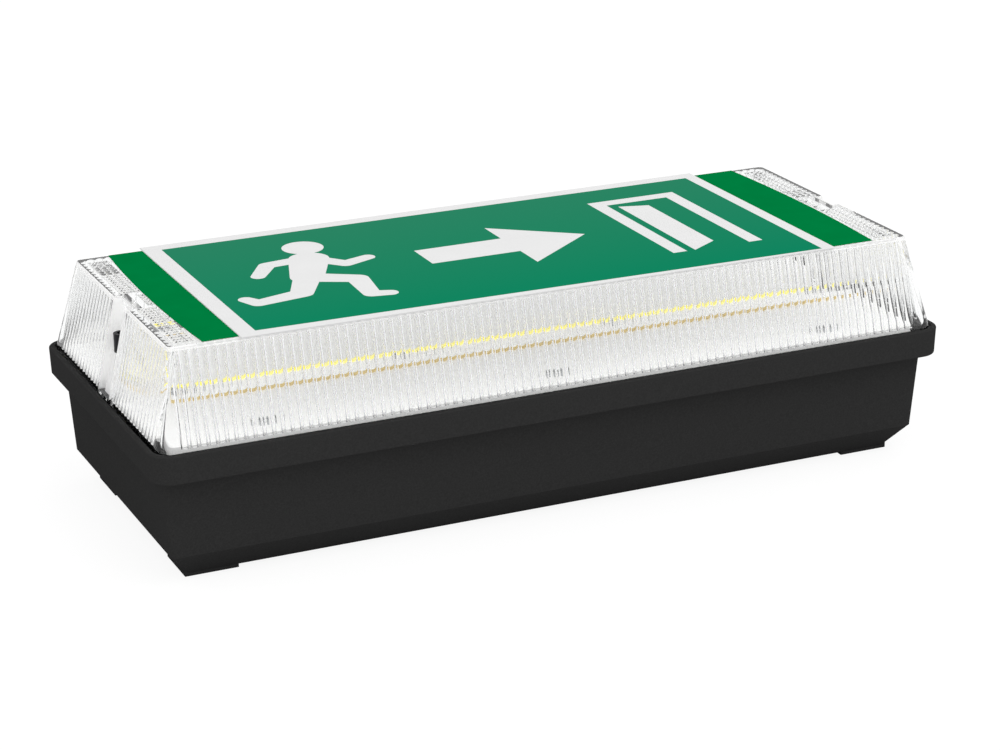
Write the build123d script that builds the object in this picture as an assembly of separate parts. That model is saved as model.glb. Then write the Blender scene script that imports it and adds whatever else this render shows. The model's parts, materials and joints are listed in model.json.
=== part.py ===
from build123d import *

import os
from math import hypot, sqrt

# An illuminated exit sign: a black moulded housing that lies on its back, a clear fluted
# cover screwed down on a seal in its rim, and a sign plate on the cover's flat top.
# Millimetres. Z runs from the back (z = 0, the four feet) towards the sign, X along the length.
# Half sizes are measured from the centre of the outline. A step is how much smaller an outline
# is than the one before it, per side.

# Housing, outside
RIM_HALF = (185.0, 80.0)
RIM_TOP = 61.3
RIM_DEPTH = 12.6
RIM_CORNER = 10.0
RIM_WALL = 2.5
RIM_DRAFT = 0.5
RIM_EDGE = 0.8
SHOULDER_STEP = (6.5, 8.4)
KNEE_STEP = (2.1, 2.2)
BACK_STEP = (7.9, 9.0)
KNEE_Z = 12.8
BODY_CORNER = 2.5
FOOT_HEIGHT = 1.5
FOOT_SIZE = 23.4

# Housing, inside
WALL = 2.5
LIP_TOP = 58.0
CHANNEL_FLOOR = 51.2
CAVITY_CORNER = 2.0
BOSS_RADIUS = 4.5
MOUNT_HOLE_RADIUS = 2.75
MOUNT_COLLAR_RADIUS = 6.5
MOUNT_COLLAR_HEIGHT = 4.0

# Clear cover
COVER_TOP = 101.8
COVER_TOP_STEP = (12.7, 15.1)
COVER_TOP_CORNER = 2.5
COVER_WALL = 3.0
COVER_TOP_WALL = 3.0
COVER_GAP = 0.9
SKIRT_BOTTOM = 54.0
FLUTE_PITCH = 4.0
FLUTE_RADIUS = 1.6
FLUTE_DEPTH = 1.0
SMOOTH_CORNER = 9.0
SMOOTH_END = 6.5
POCKET_WIDTH = 15.4
POCKET_DEPTH = 3.8
LEDGE_TOP = 62.0
LEDGE_THICKNESS = 2.4
PILLAR_WIDTH = 8.4
PILLAR_TOP = 80.0
PILLAR_INSET = 2.0
PRISM_PITCH = 4.0
PRISM_DEPTH = 0.8
PRISM_COLUMNS = 3

# Cover screws
SCREW_INSET = 12.8
SCREW_RADIUS = 2.0
SCREW_LENGTH = 38.0
SCREW_HEAD_RADIUS = 3.3
SCREW_HEAD_HEIGHT = 7.4
SCREW_SOCKET = 3.4
SCREW_SOCKET_DEPTH = 3.6
SCREW_CLEARANCE = 0.3
THREAD_CLEARANCE = 0.05
SEAL_WASHER_THICKNESS = 0.8

# Sign
FILM_THICKNESS = 0.3
FILM_MARGIN = (13.7, 0.9)
FILM_CENTRE_X = -1.2
FILM_BULGE = 2.4
PLATE_MARGIN = (34.2, -2.6)
PLATE_CENTRE = (-4.0, 0.0)
PLATE_THICKNESS = 0.5

# Gear tray and light source
TRAY_STEP = (14.0, 15.0)
TRAY_TOP = 61.0
TRAY_SHEET = 1.0
TRAY_SKIRT = 9.0
TRAY_CORNER = 6.0
TRAY_NOTCH_GAP = 1.0
POST_RADIUS = 4.0
POST_STEP = (39.0, 6.5)
LEAD_HOLE_X = 60.0
LEAD_HOLE_RADIUS = 4.0
LED_BOARD_STEP = 15.0
LED_BOARD_WIDTH = 16.0
LED_BOARD_Y = -13.2
BOARD_THICKNESS = 1.6
EMITTER_COUNT = 52
EMITTER_SIZE = (3.5, 2.8, 0.7)
EMITTER_OFFSET_Y = 5.7
BOARD_SCREW_SHARES = (-0.98, -0.33, 0.32, 0.98)

# Small screws of the tray, the boards and the battery holder
SMALL_SCREW_RADIUS = 1.5
SMALL_HEAD_RADIUS = 2.8
SMALL_HEAD_HEIGHT = 1.8
SMALL_SLOT = (0.8, 0.7)
SMALL_SCREW_BITE = 7.0

# Battery
CELL_RADIUS = 11.25
CELL_LENGTH = 42.0
CELL_COUNT = 4
CELL_NUB = (4.0, 1.0)
CELL_EDGE = 0.8
BATTERY_CENTRE = (-20.0, 34.0)
HOLDER_WALL = 2.0
HOLDER_FLOOR = 2.4
HOLDER_SADDLE = 0.45
HOLDER_TAB = 10.0
STRAP_SHEET = 0.8
STRAP_WIDTH = 12.0
STRAP_FOOT = 9.0
STRAP_SPACING = 86.0
FIT_GAP = 0.3

# Driver board; places on it are from its centre
DRIVER_SIZE = (150.0, 54.0)
DRIVER_CENTRE = (-30.0, -27.0)
DRIVER_BOSS_HEIGHT = 6.0
DRIVER_HOLE_INSET = 4.5
TRANSFORMER_PLACE = (14.0, 6.0)
TRANSFORMER_SIZE = (26.0, 22.0, 18.0)
TRANSFORMER_BASE = 4.0
TRANSFORMER_WINDOW = 5.0
MAINS_CAPACITOR_PLACE = (-22.0, -14.0)
MAINS_CAPACITOR_SIZE = (8.0, 26.0)
OUTPUT_CAPACITOR_PLACE = (64.0, -6.0)
OUTPUT_CAPACITOR_SIZE = (5.0, 20.0)
CAPACITOR_EDGE = 0.8
CAPACITOR_NECK = 0.5
CAPACITOR_NECK_SHARE = 0.12
FILM_CAPACITOR_PLACE = (-34.0, 16.0)
FILM_CAPACITOR_SIZE = (18.0, 8.5, 15.0)
FUSE_PLACE = (-54.0, -18.0)
FUSE_RADIUS = 2.6
FUSE_GLASS_RADIUS = 2.4
FUSE_LENGTH = 20.0
FUSE_LIFT = 1.2
FUSE_CLIP = (5.0, 7.0, 6.0)
HEAT_SINK_PLACE = (42.0, 12.0)
HEAT_SINK_SIZE = (30.0, 12.0, 25.0)
HEAT_SINK_FINS = 7
HEAT_SINK_WEB = 2.5
HEAT_SINK_FIN = 1.2
TRANSISTOR_BODY = (10.0, 4.5, 9.0)
TRANSISTOR_TAB = (10.0, 1.3, 6.5)
TRANSISTOR_LEG = (0.8, 0.6, 4.0)
LEAD_PITCH = 2.54
MAINS_SOCKET_PLACE = (-60.0, 4.0)
BATTERY_SOCKET_PLACE = (-4.0, 22.0)
LED_SOCKET_PLACE = (60.0, -22.0)
SOCKET_WIDTH = 6.0
SOCKET_HEIGHT = 8.0
SOCKET_WALL = 0.8
SOCKET_FLOOR = 1.2
SOCKET_PIN = (0.6, 0.6, 7.0)
MAINS_WAYS = 3
LOW_VOLTAGE_WAYS = 2

# Supply terminal
TERMINAL_PLACE = (84.0, -30.0)
TERMINAL_PITCH = 8.0
TERMINAL_WAYS = 4
TERMINAL_SIZE = (12.0, 14.0)
TERMINAL_SCREW_RADIUS = 2.0
TERMINAL_WIRE_RADIUS = 1.8
TERMINAL_SCREW_HEIGHT = 4.7

# Cable entries in the back
ENTRY_INSET = 56.5
ENTRY_RADIUS = 10.0
GROMMET_FLANGE = 3.0
GROMMET_FLANGE_THICKNESS = 1.2
GROMMET_HEIGHT = 5.0
CABLE_RADIUS = 4.0

# Places that follow from the sizes above
SHOULDER_HALF = tuple(h - s for h, s in zip(RIM_HALF, SHOULDER_STEP))
KNEE_HALF = tuple(h - s for h, s in zip(SHOULDER_HALF, KNEE_STEP))
BACK_HALF = tuple(h - s for h, s in zip(KNEE_HALF, BACK_STEP))
COVER_TOP_HALF = tuple(h - s for h, s in zip(RIM_HALF, COVER_TOP_STEP))
TRAY_HALF = tuple(h - s for h, s in zip(RIM_HALF, TRAY_STEP))
POST_HALF = tuple(h - s for h, s in zip(TRAY_HALF, POST_STEP))
FILM_HALF = tuple(h - s for h, s in zip(COVER_TOP_HALF, FILM_MARGIN))
PLATE_HALF = tuple(h - s for h, s in zip(COVER_TOP_HALF, PLATE_MARGIN))
SCREW_X = RIM_HALF[0] - SCREW_INSET
ENTRY_X = SHOULDER_HALF[0] - ENTRY_INSET
POCKET_FLOOR_X = COVER_TOP_HALF[0] - POCKET_DEPTH
LED_BOARD_HALF = TRAY_HALF[0] - LED_BOARD_STEP
FLOOR_TOP = FOOT_HEIGHT + WALL
SHOULDER_Z = RIM_TOP - RIM_DEPTH
SKIRT_TOP = RIM_TOP
RIM_INNER_HALF = tuple(h - RIM_WALL for h in RIM_HALF)
RIM_INNER_CORNER = RIM_CORNER - RIM_WALL
SKIRT_HALF = tuple(h - COVER_GAP for h in RIM_INNER_HALF)
SKIRT_CORNER = RIM_INNER_CORNER - COVER_GAP
LEDGE_BOTTOM = LEDGE_TOP - LEDGE_THICKNESS
TRAY_BOTTOM = TRAY_TOP - TRAY_SHEET
FILM_TOP = COVER_TOP + FILM_THICKNESS
PLATE_TOP = FILM_TOP + PLATE_THICKNESS
LED_BOARD_TOP = TRAY_TOP + BOARD_THICKNESS
DRIVER_BOTTOM = FLOOR_TOP + DRIVER_BOSS_HEIGHT
DRIVER_TOP = DRIVER_BOTTOM + BOARD_THICKNESS
BATTERY_LENGTH = CELL_COUNT * (CELL_LENGTH + CELL_NUB[1])
BATTERY_AXIS_Z = FLOOR_TOP + HOLDER_FLOOR + CELL_RADIUS
FOOT_CENTRE = tuple(h - FOOT_SIZE / 2 for h in BACK_HALF)


def outline(half, corner, z):
    """A rounded rectangle at height z."""
    return Plane.XY.offset(z) * RectangleRounded(2 * half[0], 2 * half[1], corner)


def drafted(low_half, low_corner, low_z, high_half, high_corner, high_z):
    """A solid between two rounded rectangles, with straight drafted walls."""
    return loft([outline(low_half, low_corner, low_z), outline(high_half, high_corner, high_z)])


def block(x_range, y_range, z_range):
    """A box from its limits along each axis."""
    size = [high - low for low, high in (x_range, y_range, z_range)]
    return Pos(x_range[0], y_range[0], z_range[0]) * Box(*size, align=(Align.MIN, Align.MIN, Align.MIN))


def rod(x, y, low_z, high_z, radius):
    """An upright cylinder."""
    return Pos(x, y, low_z) * Cylinder(radius, high_z - low_z, align=(Align.CENTER, Align.CENTER, Align.MIN))


def inset_half(half, low_half, low_z, high_half, high_z, wall):
    """The half sizes moved in by a wall's thickness, measured square to its slope."""
    rise = high_z - low_z
    return tuple(h - wall * hypot(1, (b - a) / rise) for h, a, b in zip(half, low_half, high_half))


def between(low_half, low_z, high_half, high_z, z):
    """The half sizes at height z of a drafted wall."""
    share = (z - low_z) / (high_z - low_z)
    return tuple(a + (b - a) * share for a, b in zip(low_half, high_half))


def corners(half):
    """The four corner places of a rectangle."""
    return [(sx * half[0], sy * half[1]) for sx in (-1, 1) for sy in (-1, 1)]


def both_ends(x):
    return (-x, x)


def grid(xs, ys):
    return [(x, y) for x in xs for y in ys]


# Housing

def tub():
    """The outer form under the rim: a chamfered back and drafted walls."""
    chamfer_part = drafted(BACK_HALF, BODY_CORNER, FOOT_HEIGHT, KNEE_HALF, BODY_CORNER, KNEE_Z)
    wall_part = drafted(KNEE_HALF, BODY_CORNER, KNEE_Z, SHOULDER_HALF, BODY_CORNER, SHOULDER_Z)
    return chamfer_part + wall_part


def rim():
    """The flange round the mouth, with softened outer edges."""
    low_half = tuple(h - RIM_DRAFT for h in RIM_HALF)
    solid = drafted(low_half, RIM_CORNER - RIM_DRAFT, SHOULDER_Z, RIM_HALF, RIM_CORNER, RIM_TOP)
    rings = solid.edges().group_by(Axis.Z)
    return fillet(rings[0] + rings[-1], RIM_EDGE)


def cavity():
    """The hollow of the tub, one wall thickness inside its outer form."""
    floor_outer = between(BACK_HALF, FOOT_HEIGHT, KNEE_HALF, KNEE_Z, FLOOR_TOP)
    floor_half = inset_half(floor_outer, BACK_HALF, FOOT_HEIGHT, KNEE_HALF, KNEE_Z, WALL)
    knee_half = inset_half(KNEE_HALF, KNEE_HALF, KNEE_Z, SHOULDER_HALF, SHOULDER_Z, WALL)
    mouth_half = inset_half(SHOULDER_HALF, KNEE_HALF, KNEE_Z, SHOULDER_HALF, SHOULDER_Z, WALL)
    low_part = drafted(floor_half, CAVITY_CORNER, FLOOR_TOP, knee_half, CAVITY_CORNER, KNEE_Z)
    high_part = drafted(knee_half, CAVITY_CORNER, KNEE_Z, mouth_half, CAVITY_CORNER, SHOULDER_Z)
    mouth = drafted(mouth_half, CAVITY_CORNER, SHOULDER_Z, mouth_half, CAVITY_CORNER, RIM_TOP)
    return low_part + high_part + mouth


def seal_channel():
    """The groove between the lip and the rim wall, and the step down from the rim to the lip."""
    rim_inside = drafted(
        RIM_INNER_HALF, RIM_INNER_CORNER, CHANNEL_FLOOR, RIM_INNER_HALF, RIM_INNER_CORNER, RIM_TOP
    )
    lip = drafted(SHOULDER_HALF, BODY_CORNER, CHANNEL_FLOOR, SHOULDER_HALF, BODY_CORNER, LIP_TOP)
    return rim_inside - lip


def housing_bosses():
    """Every post that stands on the housing's floor, kept inside its outer form."""
    lip = drafted(SHOULDER_HALF, BODY_CORNER, SHOULDER_Z, SHOULDER_HALF, BODY_CORNER, RIM_TOP)
    outer_form = tub() + lip
    posts = [rod(x, 0, FLOOR_TOP - WALL / 2, LEDGE_BOTTOM, BOSS_RADIUS) for x in both_ends(SCREW_X)]
    posts += [rod(x, y, FLOOR_TOP - WALL / 2, TRAY_BOTTOM, POST_RADIUS) for x, y in tray_screw_places()]
    posts += [rod(x, y, FLOOR_TOP - WALL / 2, DRIVER_BOTTOM, POST_RADIUS) for x, y in driver_screw_places()]
    collar_top = FLOOR_TOP + MOUNT_COLLAR_HEIGHT
    posts += [
        rod(x, y, FLOOR_TOP - WALL / 2, collar_top, MOUNT_COLLAR_RADIUS) for x, y in corners(FOOT_CENTRE)
    ]
    return [post & outer_form for post in posts]


def housing_holes():
    """Pilot holes in the posts, the mounting holes and the cable entries."""
    screw_tip = LEDGE_BOTTOM - SCREW_LENGTH
    thread = SCREW_RADIUS + THREAD_CLEARANCE
    holes = [rod(x, 0, screw_tip, LEDGE_BOTTOM, thread) for x in both_ends(SCREW_X)]
    bite = SMALL_SCREW_BITE + FIT_GAP
    thread = SMALL_SCREW_RADIUS + THREAD_CLEARANCE
    holes += [rod(x, y, TRAY_BOTTOM - bite, TRAY_BOTTOM, thread) for x, y in tray_screw_places()]
    holes += [rod(x, y, DRIVER_BOTTOM - bite + WALL, DRIVER_BOTTOM, thread) for x, y in driver_screw_places()]
    holes += [rod(x, y, FLOOR_TOP - WALL / 2, FLOOR_TOP, thread) for x, y in holder_screw_places()]
    holes += [rod(x, y, 0, RIM_TOP, MOUNT_HOLE_RADIUS) for x, y in corners(FOOT_CENTRE)]
    holes += [rod(x, 0, 0, FLOOR_TOP, ENTRY_RADIUS) for x in both_ends(ENTRY_X)]
    return holes


def base_housing():
    body = tub() + rim()
    for x, y in corners(FOOT_CENTRE):
        reach = FOOT_SIZE / 2
        body += block((x - reach, x + reach), (y - reach, y + reach), (0, FLOOR_TOP - WALL / 2))
    body = body - [cavity(), seal_channel()]
    return (body + housing_bosses()) - housing_holes()


def rim_seal():
    """The seal in the rim channel, from the channel's floor to the cover's foot."""
    outer_half = tuple(h - FIT_GAP for h in RIM_INNER_HALF)
    inner_half = tuple(h + FIT_GAP for h in SHOULDER_HALF)
    outer_corner = RIM_INNER_CORNER - FIT_GAP
    outer = drafted(outer_half, outer_corner, CHANNEL_FLOOR, outer_half, outer_corner, SKIRT_BOTTOM)
    inner = drafted(inner_half, BODY_CORNER, CHANNEL_FLOOR, inner_half, BODY_CORNER, SKIRT_BOTTOM)
    return outer - inner


# Clear cover

def cover_envelope(inset=0.0):
    """The cover's outer form, or the same form moved in by a thickness."""
    skirt_half = tuple(h - inset for h in SKIRT_HALF)
    skirt_corner = SKIRT_CORNER - inset
    low_half = inset_half(SKIRT_HALF, SKIRT_HALF, SKIRT_TOP, COVER_TOP_HALF, COVER_TOP, inset)
    top_half = inset_half(COVER_TOP_HALF, SKIRT_HALF, SKIRT_TOP, COVER_TOP_HALF, COVER_TOP, inset)
    top_corner = max(COVER_TOP_CORNER - inset, COVER_TOP_CORNER / 2)
    skirt = drafted(skirt_half, skirt_corner, SKIRT_BOTTOM, skirt_half, skirt_corner, SKIRT_TOP)
    return skirt + drafted(low_half, skirt_corner, SKIRT_TOP, top_half, top_corner, COVER_TOP)


def flute_profile(count):
    """A row of round grooves with narrow flats between them, closed on a line inside the hollow."""
    land = -FLUTE_DEPTH / 2
    half_mouth = sqrt(FLUTE_RADIUS**2 - (FLUTE_RADIUS - FLUTE_DEPTH) ** 2)
    points = [(-count * FLUTE_PITCH / 2, land)]
    edges = []
    for i in range(count):
        middle = (i - (count - 1) / 2) * FLUTE_PITCH
        start, end = (middle - half_mouth, 0), (middle + half_mouth, 0)
        edges += Polyline(points[-1], (start[0], land), start).edges()
        edges.append(ThreePointArc(start, (middle, FLUTE_DEPTH), end))
        edges.append(Line(end, (end[0], land)))
        points.append((end[0], land))
    last = (count * FLUTE_PITCH / 2, land)
    closing = Polyline(points[-1], last, (last[0], 2 * land), (points[0][0], 2 * land), points[0])
    return make_face(Wire(edges + closing.edges()))


def flute_cutter(count, foot, top, along):
    """Cuts a row of flutes into the inside of one sloping wall, from its foot to the ceiling."""
    slope = top - foot
    plane = Plane(origin=foot, x_dir=along, z_dir=slope)
    row = extrude(plane.offset(-FLUTE_PITCH) * flute_profile(count), slope.length + 2 * FLUTE_PITCH)
    reach_x, reach_y = both_ends(RIM_HALF[0]), both_ends(RIM_HALF[1])
    return row & block(reach_x, reach_y, (SKIRT_TOP, COVER_TOP - COVER_TOP_WALL))


def flute_cutters():
    """One cutter for each long side and for each end."""
    foot_half = inset_half(SKIRT_HALF, SKIRT_HALF, SKIRT_TOP, COVER_TOP_HALF, COVER_TOP, COVER_WALL)
    top_half = inset_half(COVER_TOP_HALF, SKIRT_HALF, SKIRT_TOP, COVER_TOP_HALF, COVER_TOP, COVER_WALL)
    side_count = int((COVER_TOP_HALF[0] - SMOOTH_CORNER) * 2 / FLUTE_PITCH)
    end_count = int((COVER_TOP_HALF[1] - SMOOTH_END) * 2 / FLUTE_PITCH)
    cutters = []
    for sign in (-1, 1):
        foot = Vector(0, sign * foot_half[1], SKIRT_TOP)
        top = Vector(0, sign * top_half[1], COVER_TOP)
        cutters.append(flute_cutter(side_count, foot, top, (sign, 0, 0)))
        foot = Vector(sign * foot_half[0], 0, SKIRT_TOP)
        top = Vector(sign * top_half[0], 0, COVER_TOP)
        cutters.append(flute_cutter(end_count, foot, top, (0, -sign, 0)))
    return cutters


def prism_field(sign):
    """Crossed V grooves under the top at one end, which leave rows of small pyramids."""
    ceiling = COVER_TOP - COVER_TOP_WALL
    half_width = COVER_TOP_HALF[1] - 2 * PRISM_PITCH
    field_end = POCKET_FLOOR_X
    field_start = field_end - PRISM_COLUMNS * PRISM_PITCH
    groove = Polygon((-PRISM_PITCH / 2, 0), (PRISM_PITCH / 2, 0), (0, PRISM_DEPTH), align=None)
    cutters = []
    for i in range(PRISM_COLUMNS):
        x = sign * (field_start + (i + 0.5) * PRISM_PITCH)
        plane = Plane(origin=(x, -half_width, ceiling), x_dir=(1, 0, 0), z_dir=(0, 1, 0))
        cutters.append(extrude(plane * Rot(0, 0, 180) * groove, 2 * half_width))
    for i in range(int(2 * half_width / PRISM_PITCH)):
        y = (i + 0.5) * PRISM_PITCH - half_width
        plane = Plane(origin=(sign * field_start, y, ceiling), x_dir=(0, 1, 0), z_dir=(1, 0, 0))
        cutters.append(extrude(plane * groove, sign * (field_end - field_start)))
    return cutters


def screw_pocket(sign):
    """The recess in one end wall: what is added for its walls, and what is cut."""
    half_width = POCKET_WIDTH / 2
    outer_x = sign * RIM_HALF[0]
    floor_x = sign * POCKET_FLOOR_X
    wall_x = sign * (POCKET_FLOOR_X - COVER_WALL)
    walls = block(
        sorted((wall_x, outer_x)),
        (-half_width - COVER_WALL, half_width + COVER_WALL),
        (LEDGE_BOTTOM, COVER_TOP),
    )
    recess = block(sorted((floor_x, outer_x)), (-half_width, half_width), (LEDGE_TOP, PLATE_TOP))
    pillar = block(sorted((wall_x, outer_x)), both_ends(PILLAR_WIDTH / 2), (LEDGE_BOTTOM, PILLAR_TOP))
    hole = rod(sign * SCREW_X, 0, SKIRT_BOTTOM, PILLAR_TOP, SCREW_RADIUS + SCREW_CLEARANCE)
    return walls, recess, pillar, hole


def cover_hollow():
    """The space under the cover, below its flat top."""
    ceiling = COVER_TOP - COVER_TOP_WALL
    limit = block(both_ends(RIM_HALF[0]), both_ends(RIM_HALF[1]), (0, ceiling))
    return cover_envelope(COVER_WALL) & limit


def diffuser_cover():
    outer = cover_envelope()
    inset_outer = cover_envelope(PILLAR_INSET)
    shell = outer - ([cover_hollow()] + flute_cutters() + prism_field(-1) + prism_field(1))
    holes = []
    for sign in (-1, 1):
        walls, recess, pillar, hole = screw_pocket(sign)
        shell = (shell + (walls & outer)) - recess + (pillar & inset_outer)
        holes.append(hole)
    return shell - holes


def cover_screw(x):
    """A cap screw with a hexagon socket, from its head on the pillar down into the housing."""
    seat = PILLAR_TOP + SEAL_WASHER_THICKNESS
    head_top = seat + SCREW_HEAD_HEIGHT
    tip = LEDGE_BOTTOM - SCREW_LENGTH + FIT_GAP
    screw = rod(x, 0, tip, seat, SCREW_RADIUS) + rod(x, 0, seat, head_top, SCREW_HEAD_RADIUS)
    socket = Pos(x, 0, head_top) * extrude(RegularPolygon(SCREW_SOCKET / sqrt(3), 6), -SCREW_SOCKET_DEPTH)
    return screw - socket


def screw_seal(x):
    """The seal ring under a cover screw's head."""
    top = PILLAR_TOP + SEAL_WASHER_THICKNESS
    ring = rod(x, 0, PILLAR_TOP, top, SCREW_HEAD_RADIUS)
    return ring - rod(x, 0, PILLAR_TOP, top, SCREW_RADIUS + THREAD_CLEARANCE)


# Sign

def green_film():
    """The coloured film on the cover's top, with gently bowed ends."""
    half_x, half_y = FILM_HALF
    straight_x = half_x - FILM_BULGE
    lines = [
        Line((-straight_x, -half_y), (straight_x, -half_y)),
        ThreePointArc((straight_x, -half_y), (half_x, 0), (straight_x, half_y)),
        Line((straight_x, half_y), (-straight_x, half_y)),
        ThreePointArc((-straight_x, half_y), (-half_x, 0), (-straight_x, -half_y)),
    ]
    return Pos(FILM_CENTRE_X, 0, COVER_TOP) * extrude(make_face(Wire(lines)), FILM_THICKNESS)


def sign_plate():
    return Pos(*PLATE_CENTRE, FILM_TOP) * extrude(Rectangle(*[2 * h for h in PLATE_HALF]), PLATE_THICKNESS)


# Gear tray and light source

def tray_screw_places():
    return grid((-POST_HALF[0], 0, POST_HALF[0]), both_ends(POST_HALF[1]))


def board_screw_places():
    return [(share * LED_BOARD_HALF, LED_BOARD_Y) for share in BOARD_SCREW_SHARES]


def gear_tray():
    """A white tray of folded sheet, open below, notched round the cover screws."""
    outer = drafted(TRAY_HALF, TRAY_CORNER, TRAY_TOP - TRAY_SKIRT, TRAY_HALF, TRAY_CORNER, TRAY_TOP)
    inner_half = tuple(h - TRAY_SHEET for h in TRAY_HALF)
    inner_corner = TRAY_CORNER - TRAY_SHEET
    tray = outer - drafted(
        inner_half, inner_corner, TRAY_TOP - TRAY_SKIRT, inner_half, inner_corner, TRAY_BOTTOM
    )
    notch_half = POCKET_WIDTH / 2 + COVER_WALL + TRAY_NOTCH_GAP
    for sign in (-1, 1):
        notch_x = sorted((sign * (POCKET_FLOOR_X - COVER_WALL - TRAY_NOTCH_GAP), sign * RIM_HALF[0]))
        tray -= block(notch_x, both_ends(notch_half), (0, RIM_TOP))
    hole = SMALL_SCREW_RADIUS + THREAD_CLEARANCE
    for x, y in tray_screw_places() + board_screw_places():
        tray -= rod(x, y, TRAY_BOTTOM, TRAY_TOP, hole)
    tray -= rod(LEAD_HOLE_X, LED_BOARD_Y - LED_BOARD_WIDTH, TRAY_BOTTOM, TRAY_TOP, LEAD_HOLE_RADIUS)
    return tray


def led_board():
    strip = Rectangle(2 * LED_BOARD_HALF, LED_BOARD_WIDTH)
    board = Pos(0, LED_BOARD_Y, TRAY_TOP) * extrude(strip, BOARD_THICKNESS)
    for x, y in board_screw_places():
        board -= rod(x, y, TRAY_TOP, LED_BOARD_TOP, SMALL_SCREW_RADIUS + THREAD_CLEARANCE)
    return board


def led_emitters():
    """One row of light emitting diodes along the board's far edge."""
    pitch = 2 * LED_BOARD_HALF / EMITTER_COUNT
    y = LED_BOARD_Y + EMITTER_OFFSET_Y
    emitter = Box(*EMITTER_SIZE, align=(Align.CENTER, Align.CENTER, Align.MIN))
    return [
        Pos((i + 0.5) * pitch - LED_BOARD_HALF, y, LED_BOARD_TOP) * emitter for i in range(EMITTER_COUNT)
    ]


def small_screw(x, y, seat, bite):
    """A slotted pan head screw that bites downwards from its seat."""
    screw = rod(x, y, seat - bite, seat, SMALL_SCREW_RADIUS)
    screw += rod(x, y, seat, seat + SMALL_HEAD_HEIGHT, SMALL_HEAD_RADIUS)
    slot_width, slot_depth = SMALL_SLOT
    top = seat + SMALL_HEAD_HEIGHT
    return screw - block(
        (x - SMALL_HEAD_RADIUS, x + SMALL_HEAD_RADIUS),
        (y - slot_width / 2, y + slot_width / 2),
        (top - slot_depth, top),
    )


def tray_screws():
    return [small_screw(x, y, TRAY_TOP, SMALL_SCREW_BITE + TRAY_SHEET) for x, y in tray_screw_places()]


def led_board_screws():
    bite = BOARD_THICKNESS + 2 * TRAY_SHEET
    return [small_screw(x, y, LED_BOARD_TOP, bite) for x, y in board_screw_places()]


# Battery

def cell_places():
    """The x of each cell's flat end; a cell's contact touches the next cell."""
    first = BATTERY_CENTRE[0] - BATTERY_LENGTH / 2
    return [first + i * (CELL_LENGTH + CELL_NUB[1]) for i in range(CELL_COUNT)]


def battery_cell(x):
    plane = Plane(origin=(x, BATTERY_CENTRE[1], BATTERY_AXIS_Z), x_dir=(0, 1, 0), z_dir=(1, 0, 0))
    can = extrude(plane * Circle(CELL_RADIUS), CELL_LENGTH)
    can = chamfer(can.edges().filter_by(GeomType.CIRCLE), CELL_EDGE)
    nub_radius, nub_height = CELL_NUB
    return can + extrude(plane.offset(CELL_LENGTH) * Circle(nub_radius), nub_height)


def holder_outer_length():
    return BATTERY_LENGTH + 2 * (FIT_GAP + HOLDER_WALL)


def holder_screw_places():
    reach = holder_outer_length() / 2 + HOLDER_TAB / 2
    return [(BATTERY_CENTRE[0] + x, BATTERY_CENTRE[1]) for x in both_ends(reach)]


def battery_holder():
    """A cradle that the cells lie in, closed at both ends, with a screw tab at each end."""
    centre_x, centre_y = BATTERY_CENTRE
    half_length = holder_outer_length() / 2
    half_width = CELL_RADIUS + HOLDER_WALL
    top = FLOOR_TOP + HOLDER_FLOOR + 2 * CELL_RADIUS * HOLDER_SADDLE
    cradle = block(
        (centre_x - half_length, centre_x + half_length),
        (centre_y - half_width, centre_y + half_width),
        (FLOOR_TOP, top),
    )
    inside = half_length - HOLDER_WALL
    plane = Plane(origin=(centre_x - inside, centre_y, BATTERY_AXIS_Z), x_dir=(0, 1, 0), z_dir=(1, 0, 0))
    cradle -= extrude(plane * Circle(CELL_RADIUS + THREAD_CLEARANCE), 2 * inside)
    tab_reach = half_length + HOLDER_TAB
    cradle += block(
        (centre_x - tab_reach, centre_x + tab_reach),
        (centre_y - CELL_RADIUS / 2, centre_y + CELL_RADIUS / 2),
        (FLOOR_TOP, FLOOR_TOP + HOLDER_WALL),
    )
    for x, y in holder_screw_places():
        cradle -= rod(x, y, FLOOR_TOP, FLOOR_TOP + HOLDER_WALL, SMALL_SCREW_RADIUS + THREAD_CLEARANCE)
    return cradle


def holder_screws():
    bite = HOLDER_WALL + WALL / 2 - FIT_GAP
    return [small_screw(x, y, FLOOR_TOP + HOLDER_WALL, bite) for x, y in holder_screw_places()]


def battery_strap(x):
    """A sprung steel strap over the cells, hooked under feet on both sides of the cradle."""
    inner = CELL_RADIUS + FIT_GAP
    outer = inner + STRAP_SHEET
    side = CELL_RADIUS + HOLDER_WALL + FIT_GAP
    centre_y = BATTERY_CENTRE[1]
    plane = Plane(origin=(x - STRAP_WIDTH / 2, centre_y, BATTERY_AXIS_Z), x_dir=(0, 1, 0), z_dir=(1, 0, 0))
    ring = plane * (Circle(outer) - Circle(inner))
    arch = extrude(ring, STRAP_WIDTH) & block(
        (x - STRAP_WIDTH, x + STRAP_WIDTH), (0, RIM_HALF[1]), (BATTERY_AXIS_Z, RIM_TOP)
    )
    for sign in (-1, 1):
        shelf_y = sorted((centre_y + sign * inner, centre_y + sign * (side + STRAP_SHEET)))
        leg_y = sorted((centre_y + sign * side, centre_y + sign * (side + STRAP_SHEET)))
        foot_y = sorted((centre_y + sign * side, centre_y + sign * (side + STRAP_FOOT / 2)))
        x_range = (x - STRAP_WIDTH / 2, x + STRAP_WIDTH / 2)
        arch += block(x_range, shelf_y, (BATTERY_AXIS_Z, BATTERY_AXIS_Z + STRAP_SHEET))
        arch += block(x_range, leg_y, (FLOOR_TOP, BATTERY_AXIS_Z + STRAP_SHEET))
        arch += block(x_range, foot_y, (FLOOR_TOP, FLOOR_TOP + STRAP_SHEET))
    return arch


# Driver board and what is soldered to it

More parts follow.
